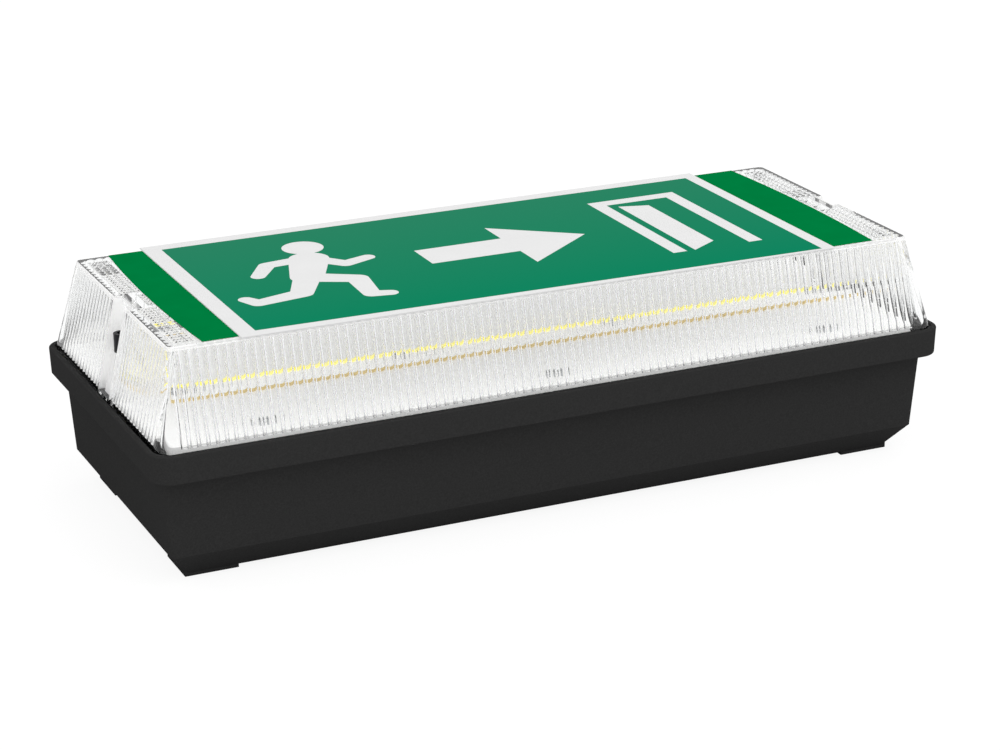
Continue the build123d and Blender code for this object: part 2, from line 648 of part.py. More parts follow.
def driver_screw_places():
    reach = tuple(s / 2 - DRIVER_HOLE_INSET for s in DRIVER_SIZE)
    return [(DRIVER_CENTRE[0] + x, DRIVER_CENTRE[1] + y) for x, y in corners(reach)]


def on_board(x, y):
    """A place on the driver board, from its centre."""
    return Pos(DRIVER_CENTRE[0] + x, DRIVER_CENTRE[1] + y, DRIVER_TOP)


def upright(length, width, height):
    return Box(length, width, height, align=(Align.CENTER, Align.CENTER, Align.MIN))


def driver_board():
    board = on_board(0, 0) * extrude(Rectangle(*DRIVER_SIZE), -BOARD_THICKNESS)
    for x, y in driver_screw_places():
        board -= rod(x, y, DRIVER_BOTTOM, DRIVER_TOP, SMALL_SCREW_RADIUS + THREAD_CLEARANCE)
    return board


def driver_screws():
    bite = BOARD_THICKNESS + DRIVER_BOSS_HEIGHT - WALL
    return [small_screw(x, y, DRIVER_TOP, bite) for x, y in driver_screw_places()]


def transformer():
    """A ferrite core round a wound bobbin that stands on its pin base."""
    length, width, height = TRANSFORMER_SIZE
    bobbin = upright(length, width, TRANSFORMER_BASE)
    core = Pos(0, 0, TRANSFORMER_BASE) * upright(length, width / 2, height - TRANSFORMER_BASE)
    winding_height = height - TRANSFORMER_BASE - TRANSFORMER_WINDOW
    winding = Pos(0, 0, TRANSFORMER_BASE + TRANSFORMER_WINDOW / 2) * upright(
        length - 2 * TRANSFORMER_WINDOW, width, winding_height
    )
    return on_board(*TRANSFORMER_PLACE) * (bobbin + core + winding)


def can_capacitor(place, size):
    """A round electrolytic capacitor with the groove that crimps its can."""
    radius, height = size
    groove_low = height * CAPACITOR_NECK_SHARE
    groove_high = groove_low + 2 * CAPACITOR_NECK
    can = chamfer(rod(0, 0, 0, height, radius).edges().group_by(Axis.Z)[-1], CAPACITOR_EDGE)
    groove = rod(0, 0, groove_low, groove_high, radius)
    groove -= rod(0, 0, groove_low, groove_high, radius - CAPACITOR_NECK)
    return on_board(*place) * (can - groove)


def film_capacitor():
    body = upright(*FILM_CAPACITOR_SIZE)
    return on_board(*FILM_CAPACITOR_PLACE) * chamfer(body.edges().filter_by(Axis.Z), CAPACITOR_EDGE)


def fuse_axis():
    return FUSE_RADIUS + FUSE_LIFT


def fuse():
    """A glass fuse with a metal cap at each end."""
    tube = Rot(0, 90, 0) * Cylinder(FUSE_GLASS_RADIUS, FUSE_LENGTH)
    caps = Rot(0, 90, 0) * Cylinder(FUSE_RADIUS, FUSE_CLIP[0])
    reach = (FUSE_LENGTH - FUSE_CLIP[0]) / 2
    joined = tube + Pos(-reach, 0, 0) * caps + Pos(reach, 0, 0) * caps
    return on_board(*FUSE_PLACE) * Pos(0, 0, fuse_axis()) * joined


def fuse_clips():
    """Two sprung clips that hold the fuse by its caps."""
    reach = (FUSE_LENGTH - FUSE_CLIP[0]) / 2
    bore = Pos(0, 0, fuse_axis()) * Rot(0, 90, 0) * Cylinder(FUSE_RADIUS + THREAD_CLEARANCE, FUSE_LENGTH)
    mouth = Pos(0, 0, fuse_axis()) * upright(FUSE_LENGTH, FUSE_RADIUS, FUSE_CLIP[2])
    clip = upright(*FUSE_CLIP) - bore - mouth
    return [on_board(FUSE_PLACE[0] + x, FUSE_PLACE[1]) * clip for x in both_ends(reach)]


def heat_sink():
    """An extruded comb of upright fins on one thick web."""
    length, width, height = HEAT_SINK_SIZE
    sink = upright(length, width, height)
    pitch = (length - HEAT_SINK_FIN) / (HEAT_SINK_FINS - 1)
    slot_width = pitch - HEAT_SINK_FIN
    for i in range(HEAT_SINK_FINS - 1):
        x = (i + 0.5) * pitch - (length - HEAT_SINK_FIN) / 2
        sink -= Pos(x, HEAT_SINK_WEB, 0) * upright(slot_width, width, height)
    return on_board(*HEAT_SINK_PLACE) * sink


def power_transistor():
    """A flat power device with its tab against the heat sink's web."""
    foot = TRANSISTOR_LEG[2]
    middle_y = -TRANSISTOR_BODY[1] / 2
    device = Pos(0, middle_y, foot) * upright(*TRANSISTOR_BODY)
    device += Pos(0, -TRANSISTOR_TAB[1] / 2, foot + TRANSISTOR_BODY[2]) * upright(*TRANSISTOR_TAB)
    for x in (-LEAD_PITCH, 0, LEAD_PITCH):
        device += Pos(x, middle_y, 0) * upright(*TRANSISTOR_LEG)
    return on_board(HEAT_SINK_PLACE[0], HEAT_SINK_PLACE[1] - HEAT_SINK_SIZE[1] / 2) * device


def wire_socket(place, ways):
    """A small box header for a plug of the inner wiring, open on top."""
    length = (ways + 1) * LEAD_PITCH
    well = upright(length - 2 * SOCKET_WALL, SOCKET_WIDTH - 2 * SOCKET_WALL, SOCKET_HEIGHT)
    shell = upright(length, SOCKET_WIDTH, SOCKET_HEIGHT) - Pos(0, 0, SOCKET_FLOOR) * well
    for i in range(ways):
        shell += Pos((i - (ways - 1) / 2) * LEAD_PITCH, 0, 0) * upright(*SOCKET_PIN)
    return on_board(*place) * shell


# Supply terminal

def terminal_offsets():
    return [(i - (TERMINAL_WAYS - 1) / 2) * TERMINAL_PITCH for i in range(TERMINAL_WAYS)]


def terminal_block():
    """A supply terminal strip on the housing's floor, one screw shaft and one wire way per pole."""
    width, height = TERMINAL_SIZE
    length = TERMINAL_WAYS * TERMINAL_PITCH
    strip = Pos(*TERMINAL_PLACE, FLOOR_TOP) * upright(width, length, height)
    shaft_low = FLOOR_TOP + height / 2
    way_z = shaft_low - TERMINAL_SCREW_HEIGHT / 2
    for offset in terminal_offsets():
        x, y = TERMINAL_PLACE[0], TERMINAL_PLACE[1] + offset
        strip -= rod(x, y, shaft_low, FLOOR_TOP + height, TERMINAL_SCREW_RADIUS + THREAD_CLEARANCE)
        strip -= Pos(x, y, way_z) * Rot(0, 90, 0) * Cylinder(TERMINAL_WIRE_RADIUS, width)
    return strip


def terminal_screws():
    height = TERMINAL_SIZE[1]
    low = FLOOR_TOP + height / 2
    top = low + TERMINAL_SCREW_HEIGHT
    slot_width, slot_depth = SMALL_SLOT
    slot_z = (top - slot_depth, top)
    screws = []
    for offset in terminal_offsets():
        x, y = TERMINAL_PLACE[0], TERMINAL_PLACE[1] + offset
        reach = TERMINAL_SCREW_RADIUS
        slot = block((x - reach, x + reach), (y - slot_width / 2, y + slot_width / 2), slot_z)
        screws.append(rod(x, y, low, top, TERMINAL_SCREW_RADIUS) - slot)
    return screws


# Cable entries

def grommet_body(x, height):
    """A rubber ring snapped into an entry hole, with a flange on both faces of the floor."""
    flange_radius = ENTRY_RADIUS + GROMMET_FLANGE
    outer = rod(x, 0, FOOT_HEIGHT - GROMMET_FLANGE_THICKNESS, FOOT_HEIGHT, flange_radius)
    outer += rod(x, 0, FOOT_HEIGHT, FLOOR_TOP, ENTRY_RADIUS - THREAD_CLEARANCE)
    outer += rod(x, 0, FLOOR_TOP, FLOOR_TOP + GROMMET_FLANGE_THICKNESS, flange_radius)
    return outer + rod(x, 0, FLOOR_TOP, FLOOR_TOP + height, ENTRY_RADIUS - THREAD_CLEARANCE)


def cable_grommet():
    whole = grommet_body(ENTRY_X, GROMMET_HEIGHT)
    return whole - rod(ENTRY_X, 0, 0, RIM_TOP, CABLE_RADIUS)


def blanking_plug():
    """The closed plug of the second entry, hollowed from inside."""
    whole = grommet_body(-ENTRY_X, GROMMET_HEIGHT)
    return whole - rod(-ENTRY_X, 0, FLOOR_TOP, RIM_TOP, ENTRY_RADIUS - GROMMET_FLANGE)


def as_group(solids):
    return Compound(children=list(solids))


def nodes():
    parts = {
        "base_housing": base_housing(),
        "rim_seal": rim_seal(),
        "diffuser_cover": diffuser_cover(),
        "cover_screw_left": cover_screw(-SCREW_X),
        "cover_screw_right": cover_screw(SCREW_X),
        "screw_seal_left": screw_seal(-SCREW_X),
        "screw_seal_right": screw_seal(SCREW_X),
        "green_film": green_film(),
        "sign_plate": sign_plate(),
        "gear_tray": gear_tray(),
        "tray_screws": as_group(tray_screws()),
        "led_board": led_board(),
        "led_emitters": as_group(led_emitters()),
        "led_board_screws": as_group(led_board_screws()),
        "battery_holder": battery_holder(),
        "holder_screws": as_group(holder_screws()),
        "driver_board": driver_board(),
        "driver_screws": as_group(driver_screws()),
        "transformer": transformer(),
        "mains_capacitor": can_capacitor(MAINS_CAPACITOR_PLACE, MAINS_CAPACITOR_SIZE),
        "output_capacitor": can_capacitor(OUTPUT_CAPACITOR_PLACE, OUTPUT_CAPACITOR_SIZE),
        "film_capacitor": film_capacitor(),
        "fuse": fuse(),
        "fuse_clips": as_group(fuse_clips()),
        "heat_sink": heat_sink(),
        "power_transistor": power_transistor(),
        "mains_socket": wire_socket(MAINS_SOCKET_PLACE, MAINS_WAYS),
        "battery_socket": wire_socket(BATTERY_SOCKET_PLACE, LOW_VOLTAGE_WAYS),
        "led_socket": wire_socket(LED_SOCKET_PLACE, LOW_VOLTAGE_WAYS),
        "terminal_block": terminal_block(),
        "terminal_screws": as_group(terminal_screws()),
        "cable_grommet": cable_grommet(),
        "blanking_plug": blanking_plug(),
    }
    for i, x in enumerate(cell_places(), start=1):
        parts[f"battery_cell_{i}"] = battery_cell(x)
    for name, sign in (("left", -1), ("right", 1)):
        parts[f"battery_strap_{name}"] = battery_strap(BATTERY_CENTRE[0] + sign * STRAP_SPACING / 2)
    return parts


def main():
    os.makedirs("parts", exist_ok=True)
    for name, shape in nodes().items():
        export_step(shape, f"parts/{name}.step")


main()
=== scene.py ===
"""The looks of an illuminated exit sign: moulded black housing, clear fluted cover, printed sign."""

import json
from math import acos, copysign, cos, pi, radians, sin

import bmesh
import bpy
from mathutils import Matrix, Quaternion, Vector

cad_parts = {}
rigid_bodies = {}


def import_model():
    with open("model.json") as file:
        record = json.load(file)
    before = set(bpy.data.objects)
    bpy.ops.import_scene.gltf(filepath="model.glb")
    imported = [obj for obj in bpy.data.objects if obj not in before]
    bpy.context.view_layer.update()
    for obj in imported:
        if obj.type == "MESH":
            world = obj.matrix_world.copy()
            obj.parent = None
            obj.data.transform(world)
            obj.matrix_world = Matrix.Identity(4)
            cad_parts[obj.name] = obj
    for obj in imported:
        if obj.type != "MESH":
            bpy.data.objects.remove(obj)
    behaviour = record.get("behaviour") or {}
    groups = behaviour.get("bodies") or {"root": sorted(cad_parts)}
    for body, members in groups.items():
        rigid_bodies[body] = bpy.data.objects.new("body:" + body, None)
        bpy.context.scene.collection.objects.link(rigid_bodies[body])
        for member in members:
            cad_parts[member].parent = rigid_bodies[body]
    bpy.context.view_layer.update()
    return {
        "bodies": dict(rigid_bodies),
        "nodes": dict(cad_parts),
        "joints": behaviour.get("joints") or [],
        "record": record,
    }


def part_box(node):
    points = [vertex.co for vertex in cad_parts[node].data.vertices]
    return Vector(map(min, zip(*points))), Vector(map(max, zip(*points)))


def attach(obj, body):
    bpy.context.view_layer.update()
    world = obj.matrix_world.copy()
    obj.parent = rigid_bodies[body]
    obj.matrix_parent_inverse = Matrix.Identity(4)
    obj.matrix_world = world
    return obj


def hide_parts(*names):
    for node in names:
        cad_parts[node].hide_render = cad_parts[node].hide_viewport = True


MM = 0.001

# Camera
CAMERA_PLACE = Vector((-474.8, -1050.6, 458.7)) * MM
CAMERA_AIM = Vector((-7.8, -21.7, 50.4)) * MM
CAMERA_ROLL = -0.52
CAMERA_LENS = 98.2
SENSOR_WIDTH = 36.0

# Light
WORLD_LEVEL = 0.85
KEY_PLACE = Vector((0.35, -0.8, 2.0))
KEY_SIZE = 1.6
KEY_POWER = 11.0
# Painted light: the tray's paint glows though it is no lamp
TRAY_PAINTED_GLOW = 0.28
# Painted light: the board's top glows though it is no lamp
BOARD_PAINTED_GLOW = 0.3
EMITTER_GLOW = 0.5
# Painted light: the cover's edges glow though they are no lamp
EDGE_PAINTED_GLOW = 0.12
FLOOR_SIZE = 12.0
FLOOR_SHADE = 0.76
FLOOR_ROUGHNESS = 0.9
FLOOR_SEEN_LEVEL = 1.12
FLOOR_SEEN_SHARE = 0.8

# Finishes
WHITE = (1.0, 1.0, 1.0, 1.0)
CLEAR_TINT = (0.985, 0.99, 0.99, 1.0)
CLEAR_LOW = (0.98, 0.985, 0.985, 1.0)
CLEAR_HIGH = (0.99, 0.995, 0.995, 1.0)
CLEAR_IOR = 1.49
MOTTLE_SPAN = (0.3, 0.7)
MOTTLE_DETAIL = 3.0
BUMP_DETAIL = 2.0
PLAIN_SPREAD = 4
PLAIN_SCALE = 300.0
PLAIN_GRAIN = 1200.0
METAL_GRAIN = 900.0
SPLIT_MARGIN = 0.05 * MM

# Numbers of a mix node's colour sockets
COLOUR_A = 6
COLOUR_B = 7
COLOUR_RESULT = 2

# Clear cover
TOP_HALF = (172.3 * MM, 64.9 * MM)
SKIRT_TOP = 61.3 * MM
SKIRT_CORNER = 6.6 * MM
TOP_CORNER = 2.5 * MM
COVER_WALL = 3.0 * MM
LEAST_RADIUS = 1.0 * MM
CEILING_WALL = 1.6 * MM
FLUTE_PITCH = 4.0 * MM
FLUTE_RADIUS = 1.7 * MM
FLUTE_DEPTH = 1.4 * MM
FLUTE_BOTTOM = 61.8 * MM
FLUTE_STEPS = 16
FLUTE_LEVELS = 10
SIDE_ROW_HALF = 173.0 * MM
END_ROW_HALF = 66.0 * MM
TOP_BEVEL = 0.4 * MM
POCKET_HALF = 7.7 * MM
POCKET_FLOOR = 168.5 * MM
LEDGE_TOP = 62.0 * MM
LEDGE_BOTTOM = 59.6 * MM
PILLAR_HALF = 4.2 * MM
PILLAR_TOP = 80.0 * MM
PILLAR_INSET = 2.0 * MM
CORNER_STEPS = 12
JOIN_DISTANCE = 0.001 * MM
EDGE_TOLERANCE = 0.01 * MM
SMOOTH_ANGLE = radians(35)
EDGE_SLOT = 1
PRISM_PITCH = 3.0 * MM
PRISM_DEPTH = 1.4 * MM
PRISM_START = 159.4 * MM
PRISM_MARGIN = 0.6 * MM

# Tray
TRAY_HALF = (174.5 * MM, 68.5 * MM)
TRAY_CORNER = 2.5 * MM
TRAY_SHEET = 1.0 * MM
TRAY_FOLD = 0.6 * MM
TRAY_NOTCH_HALF = 11.7 * MM
TRAY_NOTCH_X = 164.5 * MM

# Sign
SHEET_DROP = 0.08 * MM
FIELD_DROP = 0.04 * MM
LAYER_STEP = 0.002 * MM
PLATE_BEVEL = 0.15 * MM
PLATE_BEVEL_STEPS = 2
BORDER_X = (7.9 * MM, 6.2 * MM)
BORDER_BACK = 7.2 * MM
BORDER_FRONT = (5.7 * MM, 1.4 * MM)

# Legend: places and sizes as shares of the panel, the door's leaf as shares of the door and its frame
RUNNER_PLACE = 0.18
ARROW_PLACE = 0.53
DOOR_PLACE = 0.85
RUNNER_HEIGHT = 0.72
ARROW_LENGTH = 0.3
ARROW_SHAFT = 0.17
ARROW_HEAD = (0.3, 0.46)
DOOR_SIZE = (0.17, 0.7)
DOOR_FRAME = 0.055
LEAF_GAP = 1.6
LEAF_DROP = 2.2
LEAF_REACH = 0.55
LEAF_RISE = 0.1

# Running figure, about 80 units high: the head's middle and radius, each limb's ends and their radii
RUNNER_UNITS = 80
RUNNER_HEAD = ((9, 33), 8.5)
RUNNER_LIMBS = (
    ((6, 18), (-3, -4), 8.2, 6.8),
    ((6, 19), (-12, 17), 3.9, 3.5),
    ((-12, 17), (-20, 5), 3.5, 3.0),
    ((7, 18), (17, 6), 3.9, 3.5),
    ((17, 6), (28, 10), 3.5, 3.0),
    ((-2, -5), (14, -14), 5.4, 4.6),
    ((14, -14), (12, -34), 4.6, 3.6),
    ((12, -34), (19, -36), 3.6, 3.0),
    ((-4, -6), (-12, -22), 5.4, 4.6),
    ((-12, -22), (-31, -26), 4.6, 3.6),
    ((-31, -26), (-34, -20), 3.6, 3.0),
)
LIMB_STEPS = 14
DISC_STEPS = 48

CELL_COUNT = 4


def srgb(r, g, b):
    """A linear colour from the 0 to 255 values that a screen shows."""
    def channel(value):
        share = value / 255
        return share / 12.92 if share <= 0.04045 else ((share + 0.055) / 1.055) ** 2.4
    return (channel(r), channel(g), channel(b), 1.0)


# Materials

def new_material(name, colour, roughness, **sockets):
    """A principled material; each further keyword sets the shader input of that name."""
    material = bpy.data.materials.new(name)
    material.use_nodes = True
    shader = material.node_tree.nodes["Principled BSDF"]
    shader.inputs["Base Color"].default_value = colour
    shader.inputs["Roughness"].default_value = roughness
    for key, value in sockets.items():
        shader.inputs[key.replace("_", " ").title().replace("Ior", "IOR")].default_value = value
    return material


def object_noise(material, scale, detail):
    """A noise texture laid over the object's own coordinates."""
    nodes, links = material.node_tree.nodes, material.node_tree.links
    place = nodes.new("ShaderNodeTexCoord")
    noise = nodes.new("ShaderNodeTexNoise")
    noise.inputs["Scale"].default_value = scale
    noise.inputs["Detail"].default_value = detail
    links.new(place.outputs["Object"], noise.inputs["Vector"])
    return noise


def add_bump(material, scale, distance, strength):
    """Fine relief from a noise texture."""
    nodes, links = material.node_tree.nodes, material.node_tree.links
    noise = object_noise(material, scale, BUMP_DETAIL)
    bump = nodes.new("ShaderNodeBump")
    bump.inputs["Strength"].default_value = strength
    bump.inputs["Distance"].default_value = distance
    links.new(noise.outputs["Fac"], bump.inputs["Height"])
    links.new(bump.outputs["Normal"], nodes["Principled BSDF"].inputs["Normal"])


def mottle(material, scale, low, high):
    """Colour that wanders between two shades; returns the output that gives it."""
    nodes, links = material.node_tree.nodes, material.node_tree.links
    noise = object_noise(material, scale, MOTTLE_DETAIL)
    ramp = nodes.new("ShaderNodeValToRGB")
    for element, position, colour in zip(ramp.color_ramp.elements, MOTTLE_SPAN, (low, high)):
        element.position = position
        element.color = colour
    links.new(noise.outputs["Fac"], ramp.inputs["Fac"])
    links.new(ramp.outputs["Color"], nodes["Principled BSDF"].inputs["Base Color"])
    return ramp.outputs["Color"]


def graded(material, axis, low, high):
    """Colour that changes along one axis of the object; low and high are pairs of place and colour."""
    nodes, links = material.node_tree.nodes, material.node_tree.links
    place = nodes.new("ShaderNodeTexCoord")
    split = nodes.new("ShaderNodeSeparateXYZ")
    span = nodes.new("ShaderNodeMapRange")
    ramp = nodes.new("ShaderNodeValToRGB")
    span.inputs["From Min"].default_value = low[0]
    span.inputs["From Max"].default_value = high[0]
    ramp.color_ramp.elements[0].color = low[1]
    ramp.color_ramp.elements[1].color = high[1]
    links.new(place.outputs["Object"], split.inputs["Vector"])
    links.new(split.outputs[axis], span.inputs["Value"])
    links.new(span.outputs["Result"], ramp.inputs["Fac"])
    links.new(ramp.outputs["Color"], nodes["Principled BSDF"].inputs["Base Color"])


def split_by_height(material, height, low_colour, high_output):
    """One colour below a height of the object, another node's colour above it; returns the output
    that is 1 above it."""
    nodes, links = material.node_tree.nodes, material.node_tree.links
    place = nodes.new("ShaderNodeTexCoord")
    split = nodes.new("ShaderNodeSeparateXYZ")
    above = nodes.new("ShaderNodeMath")
    mix = nodes.new("ShaderNodeMix")
    above.operation = "GREATER_THAN"
    above.inputs[1].default_value = height
    mix.data_type = "RGBA"
    mix.inputs[COLOUR_A].default_value = low_colour
    links.new(place.outputs["Object"], split.inputs["Vector"])
    links.new(split.outputs["Z"], above.inputs[0])
    links.new(above.outputs["Value"], mix.inputs["Factor"])
    links.new(high_output, mix.inputs[COLOUR_B])
    links.new(mix.outputs[COLOUR_RESULT], nodes["Principled BSDF"].inputs["Base Color"])
    return above.outputs["Value"]


def black_plastic():
    material = new_material("black_plastic", srgb(50, 50, 50), roughness=0.6, specular_ior_level=0.0)
    mottle(material, scale=1400.0, low=srgb(48, 48, 48), high=srgb(54, 54, 54))
    add_bump(material, scale=2200.0, distance=0.06 * MM, strength=0.35)
    return material


def clear_plastic():
    """Clear moulded plastic. Light on its way to what lies inside passes straight through."""
    material = new_material(
        "clear_plastic", CLEAR_TINT, roughness=0.0, ior=CLEAR_IOR, transmission_weight=1.0
    )
    mottle(material, scale=30.0, low=CLEAR_LOW, high=CLEAR_HIGH)
    nodes, links = material.node_tree.nodes, material.node_tree.links
    path = nodes.new("ShaderNodeLightPath")
    either = nodes.new("ShaderNodeMath")
    either.operation = "MAXIMUM"
    clear = nodes.new("ShaderNodeBsdfTransparent")
    mix = nodes.new("ShaderNodeMixShader")
    links.new(path.outputs["Is Shadow Ray"], either.inputs[0])
    links.new(path.outputs["Is Diffuse Ray"], either.inputs[1])
    links.new(either.outputs["Value"], mix.inputs["Fac"])
    links.new(nodes["Principled BSDF"].outputs["BSDF"], mix.inputs[1])
    links.new(clear.outputs["BSDF"], mix.inputs[2])
    links.new(mix.outputs["Shader"], nodes["Material Output"].inputs["Surface"])
    return material


def cover_edge_painted_glow():
    """Clear plastic with painted light: white faces that glow as if the light running inside the
    plastic came out there, at the edge of the cover's flat top, the walls of its recesses and the
    lower ends of its flutes."""
    white = srgb(250, 250, 250)
    material = new_material(
        "cover_edge_painted_glow", white, roughness=0.35, ior=CLEAR_IOR, transmission_weight=0.35,
        emission_color=white, emission_strength=EDGE_PAINTED_GLOW,
    )
    mottle(material, scale=120.0, low=srgb(248, 248, 248), high=srgb(252, 252, 252))
    add_bump(material, scale=700.0, distance=0.02 * MM, strength=0.2)
    return material


def seal_rubber():
    material = new_material("seal_rubber", srgb(30, 30, 30), roughness=0.75)
    mottle(material, scale=500.0, low=srgb(26, 26, 26), high=srgb(36, 36, 36))
    add_bump(material, scale=900.0, distance=0.05 * MM, strength=0.5)
    return material


def sign_white():
    material = new_material("sign_white", srgb(229, 229, 229), roughness=0.5, specular_ior_level=0.1)
    mottle(material, scale=60.0, low=srgb(228, 228, 228), high=srgb(231, 231, 231))
    add_bump(material, scale=1500.0, distance=0.01 * MM, strength=0.2)
    return material


def sign_green(front, back):
    """Green print with painted shading: a little paler from the front to the back of the panel."""
    material = new_material("sign_green", srgb(30, 132, 95), roughness=0.6, specular_ior_level=0.0)
    graded(material, "Y", low=(front, srgb(16, 130, 93)), high=(back, srgb(42, 130, 97)))
    add_bump(material, scale=1500.0, distance=0.01 * MM, strength=0.2)
    return material


def film_green(film_bottom):
    """Green print on a white carrier, whose white shows from inside the cover."""
    material = new_material("film_green", srgb(0, 122, 61), roughness=0.6, specular_ior_level=0.0)
    green = mottle(material, scale=80.0, low=srgb(0, 120, 60), high=srgb(0, 124, 63))
    add_bump(material, scale=900.0, distance=0.01 * MM, strength=0.2)
    split_by_height(material, film_bottom + SPLIT_MARGIN, srgb(244, 244, 244), green)
    return material


def white_paint_painted_glow():
    """The tray: white paint with painted light, an emission that makes it glow as if lit by the light
    strip.
    """
    white = srgb(236, 236, 235)
    material = new_material(
        "white_paint_painted_glow", white, roughness=0.45, emission_color=white, emission_strength=TRAY_PAINTED_GLOW
    )
    mottle(material, scale=40.0, low=srgb(234, 234, 233), high=srgb(239, 239, 238))
    add_bump(material, scale=1200.0, distance=0.03 * MM, strength=0.3)
    return material


def board_white_painted_glow(board_top):
    """White solder mask on top, with painted light: it glows as if lit by its own emitters; bare tan
    laminate on the cut edges.
    """
    white = srgb(244, 244, 243)
    material = new_material("board_white_painted_glow", white, roughness=0.4, emission_color=white)
    mask = mottle(material, scale=90.0, low=srgb(245, 245, 243), high=srgb(250, 250, 248))
    on_top = split_by_height(material, board_top - SPLIT_MARGIN, srgb(236, 210, 140), mask)
    nodes, links = material.node_tree.nodes, material.node_tree.links
    # Painted light: emission on the board's top only
    glow = nodes.new("ShaderNodeMath")
    glow.operation = "MULTIPLY"
    glow.inputs[1].default_value = BOARD_PAINTED_GLOW
    links.new(on_top, glow.inputs[0])
    links.new(glow.outputs["Value"], nodes["Principled BSDF"].inputs["Emission Strength"])
    return material


def emitter_yellow():
    material = new_material(
        "emitter_yellow", srgb(250, 236, 20), roughness=0.4,
        emission_color=srgb(255, 240, 10), emission_strength=EMITTER_GLOW,
    )
    mottle(material, scale=700.0, low=srgb(248, 232, 16), high=srgb(252, 240, 30))
    return material


def fuse_glass():
    material = new_material("fuse_glass", srgb(235, 240, 235), roughness=0.05, transmission_weight=0.8)
    mottle(material, scale=200.0, low=srgb(230, 236, 230), high=srgb(240, 244, 240))
    return material


def metal(name, colour, roughness):
    material = new_material(name, colour, roughness, metallic=1.0)
    add_bump(material, METAL_GRAIN, distance=0.02 * MM, strength=0.3)
    return material


def plain(name, shade, roughness=0.5):
    """A moulded or coated surface with a little wander in its shade."""
    low = srgb(*[max(c - PLAIN_SPREAD, 0) for c in shade])
    high = srgb(*[min(c + PLAIN_SPREAD, 255) for c in shade])
    material = new_material(name, srgb(*shade), roughness)
    mottle(material, PLAIN_SCALE, low, high)
    add_bump(material, PLAIN_GRAIN, distance=0.02 * MM, strength=0.3)
    return material


def dress(nodes, finish):
    """Give every node of the frame its finish."""
    for name, node in nodes.items():
        node.data.materials.clear()
        node.data.materials.append(finish[name])


# Meshes

def new_piece(name, mesh_builder, materials):
    """An object from a function that fills a bmesh."""
    mesh = bpy.data.meshes.new(name)
    bm = bmesh.new()
    mesh_builder(bm)
    bmesh.ops.recalc_face_normals(bm, faces=bm.faces)
    bm.to_mesh(mesh)
    bm.free()
    piece = bpy.data.objects.new(name, mesh)
    bpy.context.scene.collection.objects.link(piece)
    for material in materials:
        mesh.materials.append(material)
    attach(piece, "root")
    return piece


def smooth_below(piece, angle):
    """Smooth shading, except over edges sharper than the angle."""
    for face in piece.data.polygons:
        face.use_smooth = True
    piece.data.set_sharp_from_angle(angle=angle)


# Clear cover

SIDES = (
    (Vector((1, 0)), Vector((0, 1)), 0, 1),
    (Vector((0, 1)), Vector((-1, 0)), 1, 0),
    (Vector((-1, 0)), Vector((0, -1)), 0, 1),
    (Vector((0, -1)), Vector((1, 0)), 1, 0),
)


def flute_row(row_half, limit):
    """Places and depths across a row of round grooves with narrow flats between them. What would lie
    past the limit, where the corner begins, is laid on the limit."""
    open_angle = acos(1 - FLUTE_DEPTH / FLUTE_RADIUS)
    count = int(2 * row_half / FLUTE_PITCH)
    points = []
    for i in range(count):
        middle = (i - (count - 1) / 2) * FLUTE_PITCH
        for k in range(FLUTE_STEPS + 1):
            turn = open_angle * (2 * k / FLUTE_STEPS - 1)
            place = middle + FLUTE_RADIUS * sin(turn)
            depth = FLUTE_RADIUS * cos(turn) - FLUTE_RADIUS + FLUTE_DEPTH
            inside = abs(place) < limit
            points.append((place if inside else copysign(limit, place), depth if inside else 0))
    return points


def corner_points(half, radius, axis_n, axis_d, normal, along):
    """The rounded corner at the end of a side."""
    centre = normal * (half[axis_n] - radius) + along * (half[axis_d] - radius)
    points = []
    for k in range(CORNER_STEPS + 1):
        turn = k / CORNER_STEPS * pi / 2
        points.append(centre + radius * (normal * cos(turn) + along * sin(turn)))
    return points


def outer_loop(half, radius, pocket, pillar):
    """The cover's outline at one height. pocket and pillar give how far out the recess's floor
    lies and how far in the pillar's face; None leaves the wall whole there."""
    loop = []
    for normal, along, axis_n, axis_d in SIDES:
        if axis_n == 0:
            distance = half[0]
            floor = distance if pocket is None else pocket
            face = floor if pillar is None else distance - pillar
            steps = (
                (-POCKET_HALF, distance), (-POCKET_HALF, floor),
                (-PILLAR_HALF, floor), (-PILLAR_HALF, face),
                (PILLAR_HALF, face), (PILLAR_HALF, floor),
                (POCKET_HALF, floor), (POCKET_HALF, distance),
            )
            loop += [normal * d + along * s for s, d in steps]
        loop += corner_points(half, radius, axis_n, axis_d, normal, along)
    return loop


def inner_loop(half, radius, fluted, bulge):
    """The hollow's outline at one height, fluted or plain, with the recess's back wall at each end."""
    loop = []
    wide = POCKET_HALF + COVER_WALL
    for normal, along, axis_n, axis_d in SIDES:
        distance = half[axis_n]
        row_half = (END_ROW_HALF, SIDE_ROW_HALF)[axis_n]
        row = [(s, distance + fluted * d) for s, d in flute_row(row_half, half[axis_d] - radius)]
        if axis_n == 0:
            depth = distance if bulge is None else bulge
            back_wall = [(-wide, distance), (-wide, depth), (wide, depth), (wide, distance)]
            row = [p for p in row if p[0] < -wide] + back_wall + [p for p in row if p[0] > wide]
        loop += [normal * d + along * s for s, d in row]
        loop += corner_points(half, radius, axis_n, axis_d, normal, along)
    return loop


def between_halves(low, high, share):
    return tuple(a + (b - a) * share for a, b in zip(low, high))


def add_loops(bm, levels):
    """Stack closed outlines of one count into a tube; returns the first and last rings of points."""
    rings = [[bm.verts.new((p.x, p.y, z)) for p in points] for z, points in levels]
    for low, high in zip(rings, rings[1:]):
        for i in range(len(low)):
            j = (i + 1) % len(low)
            bm.faces.new((low[i], low[j], high[j], high[i]))
    return rings[0], rings[-1]


def ring_edges(bm, ring):
    return [bm.edges.get((ring[i], ring[(i + 1) % len(ring)])) for i in range(len(ring))]


